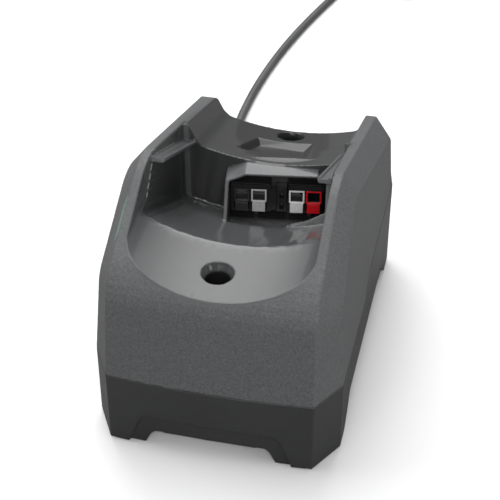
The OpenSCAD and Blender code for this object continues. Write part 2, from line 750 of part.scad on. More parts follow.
core_at = [4, board_front + 45];
core_size = [34, 30, 28];
module transformer_core() {
    color([0.2, 0.2, 0.21]) translate([core_at[0], core_at[1], board_top + 4]) difference() {
        translate([-core_size[0] / 2, -6, 0]) cube([core_size[0], 12, core_size[2] - 4]);
        for (s = [-1, 1]) translate([s * 9.5 - 3.75, -7, 4.5]) cube([7.5, 14, core_size[2] - 13]);
    }
}
module transformer_winding() {
    color([0.85, 0.7, 0.25]) translate([core_at[0], core_at[1], board_top]) {
        translate([-core_size[0] / 2, -core_size[1] / 2, 0]) cube([core_size[0], core_size[1], 3.8]);
        difference() {
            translate([-13, -12, 8.7]) cube([26, 24, core_size[2] - 13.4]);
            translate([-6, -6.2, 0]) cube([12, 12.4, 50]);
            for (s = [-1, 1]) translate([s * 20 - 6.8, -7, 0]) cube([13.6, 14, 50]);
        }
        for (s = [-1, 1]) translate([-3, s * 10 - 1, 3]) cube([6, 2, 6]);
    }
}
module bulk_capacitor() {
    color([0.12, 0.12, 0.2]) translate([-33, heat_at[1] + 20, board_top]) can(22, 32);
}
module can(d, h) {
    difference() {
        cylinder(d = d, h = h);
        translate([0, 0, h - 0.5]) cylinder(d = d - 3, h = 1);
        translate([0, 0, 2.2]) rotate_extrude() translate([d / 2, 0]) circle(d = 1);
    }
}
module output_capacitors() {
    color([0.12, 0.2, 0.16]) for (y = [22, 38])
        translate([38, heat_at[1] + y, board_top]) can(12.5, 25);
}
heat_at = [4, board_front + 9];
heat_w = 66;
heat_fins = 11;
module heat_sink() {
    color("lightgray") translate([heat_at[0], heat_at[1], board_top]) {
        translate([-heat_w / 2, 0, 0]) cube([heat_w, 2.4, 28]);
        for (i = [0:heat_fins - 1]) translate([-heat_w / 2 + i * (heat_w - 1.5) / (heat_fins - 1), -6, 0])
            cube([1.5, 6.5, 28]);
    }
}
module power_transistors() {
    color([0.15, 0.15, 0.16]) for (x = [-16, 0, 16]) translate([heat_at[0] + x, heat_at[1] + 2.4, board_top]) {
        translate([-5, 0, 5]) cube([10, 1.4, 15.5]);
        translate([-5, 0, 5]) cube([10, 4.4, 9.2]);
        for (s = [-2.54, 0, 2.54]) translate([s - 0.4, 1.8, 0]) cube([0.8, 0.6, 5.5]);
    }
}
module fuse() {
    color([0.3, 0.2, 0.16]) translate([-42, board_rear - 23, board_top]) cylinder(d = 8.4, h = 7.6);
}
module line_choke() {
    color([0.75, 0.45, 0.2]) translate([-32, heat_at[1] + 50, board_top + 6]) {
        rotate_extrude() translate([8.5, 0]) circle(d = 8);
        translate([0, 0, -6]) difference() {
            cylinder(d = 24, h = 2.4);
            cylinder(d = 6, h = 10, center = true);
        }
    }
}
module filter_capacitor() {
    color([0.75, 0.7, 0.3]) translate([-14, board_rear - 31, board_top]) cube([18, 8.5, 15]);
}
module controller_chip() {
    color([0.1, 0.1, 0.11]) translate([24, board_rear - 37, board_top]) cube([10, 10, 1.6]);
}
mains_at = [-43, board_rear - 9];
module mains_connector() {
    color([0.9, 0.9, 0.85]) translate([mains_at[0] + 6, mains_at[1] - 6, board_top]) difference() {
        cube([12, 9, 10]);
        for (x = [3, 9]) translate([x, 5, 5.5]) rotate([-90, 0, 0]) cylinder(d = 1.8, h = 10);
    }
}
out_at = [12, board_rear - 11];
module output_connector() {
    color([0.9, 0.9, 0.85]) translate([out_at[0], out_at[1], board_top]) difference() {
        cube([24, 8, 9]);
        for (i = [0:5]) translate([3 + i * 3.6, 4, 4]) cylinder(d = 1.8, h = 10);
    }
}
module mains_lead() {
    color([0.2, 0.2, 0.22]) {
        tube([[-cord_x, rear_y - gland_in - gland_flange - gap, cord_z], [-cord_x, clamp_y - 5, cord_z]],
            cord_d - 0.4, [1, 0, 0], 12);
        for (x = [-1.2, 1.2]) tube(smooth([[-cord_x + x, clamp_y - 4.9, cord_z], [-cord_x + x, clamp_y - 7, cord_z + 1.5],
            [mains_at[0] + 12 + 2.5 * x, clamp_y - 9, board_top + 5.5],
            [mains_at[0] + 12 + 2.5 * x, mains_at[1] + 2.9, board_top + 5.5]], 3), 1.6, [1, 0, 0]);
    }
}
function lead_point(u, v, w) =
    let (p = turned([u, v], hood_turn)) [hood_x + p[0], back_y - hood_out + p[1], hood_z + w];
lead_start = [for (u = contact_u) lead_point(u, 18.9, row_z + row_h - 3.6),
    lead_point(data_u, 17.3, pin_w[1]), lead_point(data_u, 17.3, pin_w[0])];
lead_slot = [0, 1, 4, 5, 3, 2];
module output_leads() {
    color([0.6, 0.12, 0.12]) for (i = [0:5]) {
        x = out_at[0] + 3 + lead_slot[i] * 3.6;
        y = out_at[1] + 4;
        a = lead_start[i];
        tube(smooth([a, a + [0, 3, -0.5], [(a[0] + x) / 2, y - 1, a[2] - 14], [x, y, board_top + 19],
            [x, y, board_top + 11], [x, y, board_top + 4.2]], 3), 1.5, [1, 0, 0]);
    }
}

module indicator_board() {
    color([0.1, 0.35, 0.2]) at_light_guide() translate([-7, lamp_y + 3.6, -9]) cube([14, 1.2, 5.2]);
}
module status_led() {
    color([0.8, 0.95, 0.85]) at_light_guide() translate([0, lamp_y + 0.2, lamp_z]) rotate([-90, 0, 0])
        cylinder(d = 2.2, h = 3.3);
}
module indicator_lead() {
    x = side_w - 8.2;
    y = light_y + 14.6;
    low = board_size[0] / 2 - 4;
    color([0.7, 0.7, 0.72]) tube(smooth([[-x, y, brow_z - 4.4], [-x, y + 2, brow_z - 18.4],
        [1 - x, y + 2, brow_z - 40.4], [-low, y + 3, board_top + 12.4], [-low, y + 3, board_top + 6.4],
        [-low, y + 3, board_top + 0.1]], 3), 2, [1, 0, 0]);
}
module cord_clamp() {
    color([0.25, 0.25, 0.26]) difference() {
        translate([-cord_x - 10, clamp_y - 3, cord_z - 1.9]) cube([20, 6, 6.9]);
        translate([-cord_x, clamp_y - 5, cord_z]) rotate([-90, 0, 0]) cylinder(d = cord_d - 0.3, h = 10);
        translate([-cord_x - cord_d / 2, clamp_y - 5, cord_z - 3]) cube([cord_d, 10, 3]);
        for (x = [-7, 7]) translate([x - cord_x, clamp_y, 0]) cylinder(d = 2.6, h = far);
    }
}
module foot_pads() {
    color([0.1, 0.1, 0.1]) for (p = foot_at) translate([p[0], p[1], 0]) cylinder(d = foot_d, h = 2);
}

module strain_relief() {
    color([0.2, 0.2, 0.21]) translate([-cord_x, rear_y, cord_z]) rotate([-90, 0, 0]) {
        translate([0, 0, -gland_in - gap - gland_flange]) cylinder(d = gland_hole_d + 3, h = gland_flange);
        translate([0, 0, -gland_in - 1]) cylinder(d = gland_hole_d - 2 * gap, h = gland_in + 2);
        translate([0, 0, gap]) cylinder(d = gland_hole_d + 4, h = 3);
        translate([0, 0, 1]) cylinder(d1 = gland_hole_d + 1, d2 = cord_d + 1.6, h = relief_l - 1);
    }
}

// The route of the cord's middle line from the strain relief to the coil, chosen by hand, where
// floor_cord is its height when it lies on the table
floor_cord = cord_d / 2;
route = [[-cord_x, rear_y + relief_l + 0.3, cord_z], [-46, 134, 20], [-47, 144, 16.5], [-49, 155, 11.5],
    [-51, 167, 7], [-53, 181, 4], [-56, 198, floor_cord], [-58, 218, floor_cord], [-58, 240, floor_cord],
    [-57, 264, floor_cord], [-55, 288, floor_cord], [-52, 313, floor_cord], [-48, 338, floor_cord],
    [-43, 364, floor_cord], [-37, 390, floor_cord], [-31, 414, floor_cord], [-26, 433, floor_cord + 0.8],
    [-23.1, 449, floor_cord + 0.8]];

// The coil: its turns lie beside each other, a diameter apart, in two layers
coil_at = [15, 470];
coil_mid_r = 30;
coil_lift = 0.8;
coil_in = coil_mid_r - cord_d * coil_turns / 2;
coil_out = coil_mid_r + cord_d * coil_turns / 2;
coil_h = coil_lift + cord_d * 1.87;
tie_w = 7;
tie_t = 0.6;

// The plug lies behind the coil, where the last turn leaves it
plug_at = [52, coil_at[1] + coil_mid_r + cord_d];
plug_l = 34;
plug_w = 30;
plug_t = 14;
plug_relief_l = 12;
tail = [[coil_at[0] + 20.9, plug_at[1], coil_h - cord_d / 2], [plug_at[0] - 6, plug_at[1], coil_h - cord_d / 2 - 0.5],
    [plug_at[0] - 0.3, plug_at[1], plug_t / 2]];
module power_cord() {
    color([0.3, 0.3, 0.31]) {
        tube(smooth(route, 2), cord_d, [1, 0, 0], 10);
        tube(smooth(tail, 2), cord_d, [0, 1, 0], 10);
    }
}
module cord_coil() {
    color([0.3, 0.3, 0.31]) translate([coil_at[0], coil_at[1], 0]) rotate_extrude()
        polygon([[coil_in, coil_lift], [coil_out, coil_lift], [coil_out, coil_lift + cord_d * 0.7],
            [coil_out - cord_d * 0.7, coil_h], [coil_in + cord_d * 0.7, coil_h],
            [coil_in, coil_lift + cord_d * 0.7]]);
}
module cord_tie() {
    color([0.1, 0.1, 0.1]) translate([coil_at[0], coil_at[1], 0]) along_y(-tie_w / 2, tie_w / 2) difference() {
        translate([coil_in - 1.2, 0]) square([coil_out - coil_in + 2.2, coil_h + 1]);
        translate([coil_in - 0.5, tie_t]) square([coil_out - coil_in + 0.8, coil_h + 0.2 - tie_t]);
    }
}
module plug_body() {
    color([0.15, 0.15, 0.15]) translate([plug_at[0], plug_at[1], 0]) {
        translate([0, 0, plug_t / 2]) rotate([0, 90, 0])
            cylinder(d1 = cord_d + 1.6, d2 = cord_d + 5, h = plug_relief_l + 1);
        translate([plug_relief_l, 0, 0]) upright(0, plug_t) polygon(round_outline([[0, -6], [12, -plug_w / 2],
            [plug_l, -plug_w / 2], [plug_l, plug_w / 2], [12, plug_w / 2], [0, 6]], [2, 8, 3, 3, 8, 2]));
    }
}
module plug_pins() {
    color("silver") for (y = [-9.3, 9.3]) translate([plug_at[0] + plug_relief_l + plug_l, plug_at[1] + y, plug_t / 2])
        rotate([0, 90, 0]) cylinder(d = 4, h = 19);
}

upper_housing();
lower_housing();
light_guide();
terminal_frame();
contact_dark();
contact_grey();
contact_white();
contact_red();
contact_blades();
data_connector();
data_pins();
circuit_board();
board_screws();
transformer_core();
transformer_winding();
bulk_capacitor();
output_capacitors();
heat_sink();
power_transistors();
fuse();
line_choke();
filter_capacitor();
controller_chip();
mains_connector();
output_connector();
indicator_board();
status_led();
indicator_lead();
mains_lead();
output_leads();
cord_clamp();
housing_screws();
foot_pads();
strain_relief();
power_cord();
cord_coil();
cord_tie();
plug_body();
plug_pins();
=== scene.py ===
import json
import math

import bmesh
import bpy
import numpy as np
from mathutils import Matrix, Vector


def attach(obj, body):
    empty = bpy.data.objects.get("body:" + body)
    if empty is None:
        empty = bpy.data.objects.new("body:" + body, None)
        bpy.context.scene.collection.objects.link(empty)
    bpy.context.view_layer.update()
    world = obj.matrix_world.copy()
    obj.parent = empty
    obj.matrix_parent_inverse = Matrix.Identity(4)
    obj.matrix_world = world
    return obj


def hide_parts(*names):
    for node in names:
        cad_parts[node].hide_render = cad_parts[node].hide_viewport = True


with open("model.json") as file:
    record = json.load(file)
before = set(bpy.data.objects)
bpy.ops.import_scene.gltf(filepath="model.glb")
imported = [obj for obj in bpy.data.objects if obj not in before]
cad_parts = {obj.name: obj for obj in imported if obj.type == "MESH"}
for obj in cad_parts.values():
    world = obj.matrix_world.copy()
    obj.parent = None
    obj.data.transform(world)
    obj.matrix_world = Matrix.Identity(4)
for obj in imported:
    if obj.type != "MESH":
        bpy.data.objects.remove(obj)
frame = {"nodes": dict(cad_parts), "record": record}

scene = bpy.context.scene
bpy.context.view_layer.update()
nodes = frame["nodes"]
mm = 0.001

# Camera: a long lens, above the front and a little to its right
camera_turn = math.radians(13.07)
camera_pitch = math.radians(36.48)
sensor_width = 36
lens_in_pixels, picture_width = 1316.59, 500
camera_data = bpy.data.cameras.new("camera")
camera_data.sensor_width = sensor_width
camera_data.lens = lens_in_pixels / picture_width * sensor_width
camera = bpy.data.objects.new("camera", camera_data)
camera.location = (0.12251, -0.53044, 0.46177)
camera.rotation_euler = (math.pi / 2 - camera_pitch, 0, camera_turn)
scene.collection.objects.link(camera)
scene.camera = camera
scene.view_settings.view_transform = "Standard"

# Mains cord: a round two-core lead in grey PVC, 5.4 mm thick. It leaves the strain relief at the rear,
# sags to the table, runs back in a loose bow and is put away as a coil of two layers.
cord_d = 5.4
on_floor = cord_d / 2
route = [(-46, 124.3, 21), (-46, 134, 20), (-47, 144, 16.5), (-49, 155, 11.5), (-51, 167, 7), (-53, 181, 4),
         (-56, 198, on_floor), (-58, 218, on_floor), (-58, 240, on_floor), (-57, 264, on_floor),
         (-55, 288, on_floor), (-52, 313, on_floor), (-48, 338, on_floor), (-43, 364, on_floor),
         (-37, 390, on_floor), (-31, 414, on_floor), (-26, 433, on_floor + 0.8), (-23.1, 449, on_floor + 0.8)]
to_plug = [(22, 505.4, 8.2), (35.9, 505.4, 8.2), (46, 505.4, 7.7), (51.7, 505.4, 7)]
line_steps = 6
coil_center = (15, 470)
coil_radii = [38.1, 32.7, 27.3, 21.9, 24.6, 30, 35.4]
coil_turns = 6.25
turn_steps = 72
lower_z, upper_z = 3.5, 8.2
# Parts of a turn: the step to the next radius, and the lift where a turn of the upper layer crosses
next_radius = (0.62, 0.98)
crossing, crossing_lift = (0.6, 1), 0.9
# Numbers of turns: the climb to the upper layer, and where that layer's crossings start
climb = (3.3, 3.72)
crossings_from = 3.62


def smooth_line(points, steps):
    """A Catmull-Rom line through the points."""
    ends = [points[0] * 2 - points[1], *points, points[-1] * 2 - points[-2]]
    line = []
    for a, b, c, d in zip(ends, ends[1:], ends[2:], ends[3:]):
        for i in range(steps):
            t = i / steps
            line.append((b * 2 + (c - a) * t + (a * 2 - b * 5 + c * 4 - d) * t * t
                         + (b * 3 - a - c * 3 + d) * t ** 3) / 2)
    return [*line, points[-1]]


def ease(low, high, value):
    t = min(1, max(0, (value - low) / (high - low)))
    return t * t * (3 - 2 * t)


def coil_point(turn):
    """The lead at a number of turns, clockwise from the left side."""
    ring = int(turn)
    part = turn - ring
    following = coil_radii[min(ring + 1, len(coil_radii) - 1)]
    radius = coil_radii[ring] + (following - coil_radii[ring]) * ease(*next_radius, part)
    height = lower_z + (upper_z - lower_z) * ease(*climb, turn)
    if turn > crossings_from:
        height += crossing_lift * math.sin(math.pi * ease(*crossing, part)) ** 2
    angle = math.pi - 2 * math.pi * turn
    x, y = coil_center
    return Vector((x + radius * math.cos(angle), y + radius * math.sin(angle), height))


lead_in = smooth_line([Vector(p) for p in route], line_steps)
coil = [coil_point(i / turn_steps) for i in range(int(coil_turns * turn_steps) + 1)]
lead_out = smooth_line([Vector(p) for p in to_plug], line_steps)
cord_line = [p * mm for p in [*lead_in, *coil, *lead_out]]
cord_curve = bpy.data.curves.new("mains_cord", "CURVE")
cord_curve.dimensions = "3D"
cord_curve.bevel_depth = cord_d / 2 * mm
cord_curve.bevel_resolution = 4
cord_curve.use_fill_caps = True
spline = cord_curve.splines.new("POLY")
spline.points.add(len(cord_line) - 1)
for spline_point, p in zip(spline.points, cord_line):
    spline_point.co = (*p, 1)
spline.use_smooth = True
drawn = bpy.data.objects.new("cord_line", cord_curve)
scene.collection.objects.link(drawn)
cord_mesh = bpy.data.meshes.new_from_object(drawn.evaluated_get(bpy.context.evaluated_depsgraph_get()))
bpy.data.objects.remove(drawn)
cord = bpy.data.objects.new("mains_cord", cord_mesh)
scene.collection.objects.link(cord)
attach(cord, "root")
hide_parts("power_cord", "cord_coil")


# The cord's finish. Its shader groups give colours and heights only; gloss stays in each finish.
def new_group(name, inputs, outputs):
    tree = bpy.data.node_groups.new(name, "ShaderNodeTree")
    for label, kind, value in inputs:
        tree.interface.new_socket(label, in_out="INPUT", socket_type=kind).default_value = value
    for label, kind in outputs:
        tree.interface.new_socket(label, in_out="OUTPUT", socket_type=kind)
    return tree, tree.nodes.new("NodeGroupInput").outputs, tree.nodes.new("NodeGroupOutput").inputs


def noise(tree, coordinates, scale, detail=2.0, rough=0.5):
    node = tree.nodes.new("ShaderNodeTexNoise")
    node.inputs["Detail"].default_value = detail
    node.inputs["Roughness"].default_value = rough
    if isinstance(scale, (int, float)):
        node.inputs["Scale"].default_value = scale
    else:
        tree.links.new(scale, node.inputs["Scale"])
    tree.links.new(coordinates, node.inputs["Vector"])
    return node.outputs["Fac"]


def math_node(tree, operation, *values):
    node = tree.nodes.new("ShaderNodeMath")
    node.operation = operation
    for socket, value in zip(node.inputs, values):
        if isinstance(value, (int, float)):
            socket.default_value = value
        else:
            tree.links.new(value, socket)
    return node.outputs[0]


def mapped(tree, value, low, high, to_low, to_high):
    node = tree.nodes.new("ShaderNodeMapRange")
    for label, number in (("From Min", low), ("From Max", high), ("To Min", to_low), ("To Max", to_high)):
        node.inputs[label].default_value = number
    tree.links.new(value, node.inputs["Value"])
    return node.outputs["Result"]


def mixed(tree, factor, first, second):
    """A blend of two colours, each a socket or a tuple."""
    node = tree.nodes.new("ShaderNodeMix")
    node.data_type = "RGBA"
    tree.links.new(factor, node.inputs["Factor"])
    for socket, value in ((node.inputs[6], first), (node.inputs[7], second)):
        if isinstance(value, tuple):
            socket.default_value = (*value, 1)
        else:
            tree.links.new(value, socket)
    return node.outputs[2]


# Moulded plastic: a speckle of the size given, and slow changes of tone from handling and dust
coarser, coarse_share = 0.42, 0.6
cloud_scale = 28
speckle_group, group_in, group_out = new_group(
    "speckle", [("Scale", "NodeSocketFloat", 900.0)],
    [("Height", "NodeSocketFloat"), ("Cloud", "NodeSocketFloat")])
place = speckle_group.nodes.new("ShaderNodeTexCoord").outputs["Object"]
fine = noise(speckle_group, place, group_in["Scale"], 3, 0.65)
coarse = noise(speckle_group, place, math_node(speckle_group, "MULTIPLY", group_in["Scale"], coarser), 2, 0.5)
together = math_node(speckle_group, "ADD", fine, math_node(speckle_group, "MULTIPLY", coarse, coarse_share))
speckle_group.links.new(mapped(speckle_group, together, 0.55, 1.05, 0, 1), group_out["Height"])
cloud = noise(speckle_group, place, cloud_scale, 4, 0.6)
speckle_group.links.new(mapped(speckle_group, cloud, 0.3, 0.7, 0, 1), group_out["Cloud"])


def use_group(tree, group, **values):
    node = tree.nodes.new("ShaderNodeGroup")
    node.node_tree = group
    for label, value in values.items():
        node.inputs[label].default_value = value
    return node.outputs


def start_finish(name, **sockets):
    """A new material with constants on its shader: the material, its node tree and its shader."""
    finish = bpy.data.materials.new(name)
    finish.use_nodes = True
    tree = finish.node_tree
    shader = tree.nodes["Principled BSDF"]
    for label, value in sockets.items():
        shader.inputs[label.replace("_", " ")].default_value = value
    return finish, tree, shader


def add_bump(tree, shader, height, distance, strength=1.0):
    bump = tree.nodes.new("ShaderNodeBump")
    bump.inputs["Distance"].default_value = distance
    if isinstance(strength, (int, float)):
        bump.inputs["Strength"].default_value = strength
    else:
        tree.links.new(strength, bump.inputs["Strength"])
    tree.links.new(height, bump.inputs["Height"])
    tree.links.new(bump.outputs["Normal"], shader.inputs["Normal"])


cord_dark, cord_light = (0.07, 0.071, 0.073), (0.095, 0.096, 0.098)
cord_finish, tree, shader = start_finish("cord", IOR=1.5)
speckle = use_group(tree, speckle_group, Scale=420.0)
tree.links.new(mixed(tree, speckle["Cloud"], cord_dark, cord_light), shader.inputs["Base Color"])
tree.links.new(mapped(tree, speckle["Cloud"], 0, 1, 0.4, 0.5), shader.inputs["Roughness"])
add_bump(tree, shader, speckle["Height"], 0.02 * mm)
cord_mesh.materials.clear()
cord_mesh.materials.append(cord_finish)
finish_of_slot = {"cord": cord_finish}

# Stage: a white studio table under soft boxes. The largest are behind and above the object, and a low
# one at the right lights the flank and leaves the shadow on the table beside it.
table_reach = 4
table = bpy.data.meshes.new("table")
table.from_pydata([(-table_reach, -table_reach, 0), (table_reach, -table_reach, 0),
                   (table_reach, table_reach, 0), (-table_reach, table_reach, 0)], [], [(0, 1, 2, 3)])
floor = bpy.data.objects.new("table", table)
scene.collection.objects.link(floor)
lights_aim = (0, 0, 0.06)


def area_light(name, at, size, power):
    data = bpy.data.lights.new(name, "AREA")
    data.shape = "RECTANGLE"
    data.size, data.size_y = size
    data.energy = power
    lamp = bpy.data.objects.new(name, data)
    lamp.location = at
    lamp.rotation_euler = (Vector(lights_aim) - Vector(at)).to_track_quat("-Z", "Y").to_euler()
    scene.collection.objects.link(lamp)


area_light("rear_box", (-0.35, 1.15, 1.25), (1.5, 0.8), 17)
area_light("left_box", (-1.3, -0.1, 0.8), (0.9, 1.1), 7)
area_light("front_fill", (-0.2, -1.5, 0.9), (1.3, 0.9), 6)
area_light("face_box", (0.3, -1.0, 0.85), (0.4, 0.4), 4)
area_light("right_box", (1.3, -0.35, 0.35), (0.9, 0.5), 7)
area_light("top_box", (-0.2, 0.3, 1.6), (1.1, 1.1), 14.5)

# The world and the table look white to the camera, and give the object a plain level of light
world_light, world_seen = 0.15, 1.0
table_light, table_seen = (0.28, 0.28, 0.28), (0.9, 0.9, 0.9)
world = bpy.data.worlds.new("world")
scene.world = world
world.use_nodes = True
world_tree = world.node_tree
background = world_tree.nodes["Background"]
background.inputs["Color"].default_value = (1, 1, 1, 1)
seen_direct = world_tree.nodes.new("ShaderNodeLightPath").outputs["Is Camera Ray"]
world_level = mapped(world_tree, seen_direct, 0, 1, world_light, world_seen)
world_tree.links.new(world_level, background.inputs["Strength"])

table_finish, tree, shader = start_finish("table_white", Roughness=0.9, Specular_IOR_Level=0)
seen_direct = tree.nodes.new("ShaderNodeLightPath").outputs["Is Camera Ray"]
tree.links.new(mixed(tree, seen_direct, table_light, table_seen), shader.inputs["Base Color"])
table.materials.append(table_finish)

# Upper housing: one shell moulded in dark grey glass-filled nylon. Its outside has a spark-eroded
# texture; the cradle inside is polished where the battery slides.
shell_voxel, shell_triangles = 0.5, 195000
crest_at = (0.0, -42.6, 93.4)
back_y = 33.0
deck_at = (2.5, back_y, 91.7)
slide_slope = -25.1
ramp = {"at": crest_at, "slope": 5.5, "places": (-200, 200), "dishes": (94, 94), "radius": 14, "half": 44.3,
        "turn": 54}
slide = {"at": crest_at, "slope": slide_slope, "places": (-30, 110), "dishes": (94, 210), "radius": 4,
         "half": 43.5}
deck = {"at": deck_at, "slope": -14.6, "places": (-200, 200), "dishes": (130, 130), "radius": 10,
        "half": 39.9, "turn": 63, "lean": 27}
front_well, rear_well = (-1.2, -63.6), (3.6, 82.4)
seam_step_y, seam_levels = [-5.0, 4.0], [41.0, 53.5]
contacts_turn = math.radians(9)
contacts_at = np.array((10.4, 26.5, 59.6))
# A trough's chords in the CAD model, the reach of its straight wall, and a distance that counts as far
dish_chords, fillet_chords, wall_rise = 5, 8, 90
arc_fineness = 4
skin_near, skin_reach = 0.3, 0.8
far_off = 9
# The back wall's reach, and twice the mean radius of the slide's dish
wall_half, wall_levels = 44, (50, 110)
slide_sag = 350
# How far the seam draws vertices to itself, and where the mould's fillets fade out
seam_reach = 0.3
foot_reach, lip_reach, lip_strength, least_weight = (2.5, 4), (1, 2), 0.35, 0.02


def copy_of(node, name):
    piece = bpy.data.objects.new(name, nodes[node].data.copy())
    scene.collection.objects.link(piece)
    return piece


def apply_modifiers(piece):
    evaluated = piece.evaluated_get(bpy.context.evaluated_depsgraph_get())
    mesh = bpy.data.meshes.new_from_object(evaluated)
    piece.modifiers.clear()
    piece.data = mesh
    return mesh


def moulded(node, name, voxel, passes):
    """A copy of a housing with every edge rounded by about one voxel, as a mould leaves it."""
    piece = copy_of(node, name)
    remesh = piece.modifiers.new("voxels", "REMESH")
    remesh.mode = "VOXEL"
    remesh.voxel_size = voxel * mm
    relax = piece.modifiers.new("relax", "SMOOTH")
    relax.factor = 0.5
    relax.iterations = passes
    apply_modifiers(piece)
    return piece


def thinned(piece, most):
    """Joins small faces where the surface is flat, down to a number of triangles."""
    thin = piece.modifiers.new("thin", "DECIMATE")
    thin.ratio = most / (2 * len(piece.data.polygons))
    apply_modifiers(piece).shade_smooth()


def spots_of(piece):
    """The piece's vertices in mm."""
    spots = np.empty(len(piece.data.vertices) * 3, np.float32)
    piece.data.vertices.foreach_get("co", spots)
    return spots.reshape(-1, 3).astype(float) * 1000


def ring_points(dish, radius, half, turn, lean, steps):
    """Half of a trough's cross-section: a shallow dish, a fillet and a wall, finer with more steps."""
    mid = half - radius * math.sin(turn)
    edge = math.asin(mid / (dish - radius))
    rise = dish - (dish - radius) * math.cos(edge)
    dish_steps, fillet_steps = dish_chords * steps, fillet_chords * steps
    dish_angles = [edge * i / dish_steps for i in range(dish_steps + 1)]
    fillet_angles = [edge + (turn - edge) * i / fillet_steps for i in range(1, fillet_steps + 1)]
    points = [(dish * math.sin(a), dish - dish * math.cos(a)) for a in dish_angles]
    points += [(mid + radius * math.sin(a), rise - radius * math.cos(a)) for a in fillet_angles]
    return np.array([*points, (points[-1][0] + wall_rise * math.tan(lean), points[-1][1] + wall_rise)])


def nearest_on_rings(first, last, part, spot):
    """The nearest place to each spot on a polyline that blends from first to last, and its distance."""
    best = np.full(len(spot), np.inf)
    place = spot.copy()
    for i in range(len(first) - 1):
        p = first[i] + (last[i] - first[i]) * part
        q = first[i + 1] + (last[i + 1] - first[i + 1]) * part
        edge = q - p
        t = (((spot - p) * edge).sum(1) / (edge * edge).sum(1)).clip(0, 1)[:, None]
        found = p + edge * t
        distance = np.linalg.norm(spot - found, axis=1)
        nearer = distance < best
        best[nearer] = distance[nearer]
        place[nearer] = found[nearer]
    return place, best


def trough_skin(points, at, slope, places, dishes, radius, half, turn=90, lean=0):
    """How far points are from a trough's skin, and the move that takes them from the CAD model's
    chords to the true arcs, in mm."""
    a = math.radians(slope)
    y, z = points[:, 1] - at[1], points[:, 2] - at[2]
    along = y * math.cos(a) + z * math.sin(a)
    up = z * math.cos(a) - y * math.sin(a)
    side = np.sign(points[:, 0] - at[0])
    spot = np.stack([np.abs(points[:, 0] - at[0]), up], 1)
    part = ((along - places[0]) / (places[1] - places[0])).clip(0, 1)[:, None]
    turn, lean = math.radians(turn), math.radians(lean)
    coarse_rings, fine_rings = ([ring_points(d, radius, half, turn, lean, steps) for d in dishes]
                                for steps in (1, arc_fineness))
    chords, gap = nearest_on_rings(*coarse_rings, part, spot)
    near = gap < skin_reach
    arcs = chords.copy()
    arcs[near], _ = nearest_on_rings(*fine_rings, part[near], spot[near])
    move = arcs - chords
    return gap, np.stack([side * move[:, 0], -math.sin(a) * move[:, 1], math.cos(a) * move[:, 1]], 1)


def soft_mask(distance, low=0.35, high=1.3):
    t = ((distance - low) / (high - low)).clip(0, 1)
    return 1 - t * t * (3 - 2 * t)


def cradle_skins(spots):
    """For the ramp, the slide and the deck: the distance of each spot and its move to the true arcs."""
    y = spots[:, 1]
    found = [trough_skin(spots, **form) for form in (ramp, slide, deck)]
    elsewhere = [y > crest_at[1] + 10, (y < crest_at[1] - 2) | (y > back_y + 0.5), y < back_y - 1]
    for (gap, _), far in zip(found, elsewhere):
        gap[far] = far_off
    return found


def slide_level(spots):
    """The slide's height at each spot, in mm."""
    along = spots[:, 1] - crest_at[1]
    return crest_at[2] + along * math.tan(math.radians(slide_slope)) + spots[:, 0] ** 2 / slide_sag


def back_wall_gap(spots):
    gap = np.abs(spots[:, 1] - back_y)
    low, high = wall_levels
    gap[(np.abs(spots[:, 0]) > wall_half) | (spots[:, 2] < low) | (spots[:, 2] > high)] = far_off
    return gap


def in_contacts(points):
    """Points in mm in the frame of the contacts: along their row, into the housing, up."""
    x, y, z = (points - contacts_at).T
    return np.stack([x * math.cos(contacts_turn) + y * math.sin(contacts_turn),
                     y * math.cos(contacts_turn) - x * math.sin(contacts_turn), z], 1)


upper = moulded("upper_housing", "upper_shell", shell_voxel, 1)
spots = spots_of(upper)
for gap, move in cradle_skins(spots):
    spots += move * soft_mask(gap, skin_near, skin_reach)[:, None]
# The rim's lower edge runs true along the seam, which climbs a step on each side
seam = np.interp(spots[:, 1], seam_step_y, seam_levels)
at_seam = np.abs(spots[:, 2] - seam) < seam_reach
spots[at_seam, 2] = seam[at_seam]
upper.data.vertices.foreach_set("co", (spots * mm).astype(np.float32).ravel())

# The mould's fillets: wide where the back wall meets the slide, fine at the deck's front edge
wall_gap = back_wall_gap(spots)
deck_gap = cradle_skins(spots)[2][0]
over_slide = np.abs(spots[:, 2] - slide_level(spots))
foot_fillet = soft_mask(wall_gap, *foot_reach) * soft_mask(over_slide, *foot_reach)
lip_fillet = lip_strength * soft_mask(wall_gap, *lip_reach) * soft_mask(deck_gap, *lip_reach)
for label, weights, passes in (("foot_fillet", foot_fillet, 45), ("lip_fillet", lip_fillet, 14)):
    group = upper.vertex_groups.new(name=label)
    for index in np.nonzero(weights > least_weight)[0].tolist():
        group.add([index], float(weights[index]), "REPLACE")
    ease_off = upper.modifiers.new(label, "SMOOTH")
    ease_off.vertex_group = label
    ease_off.iterations = passes
apply_modifiers(upper)
upper.vertex_groups.clear()
thinned(upper, shell_triangles)

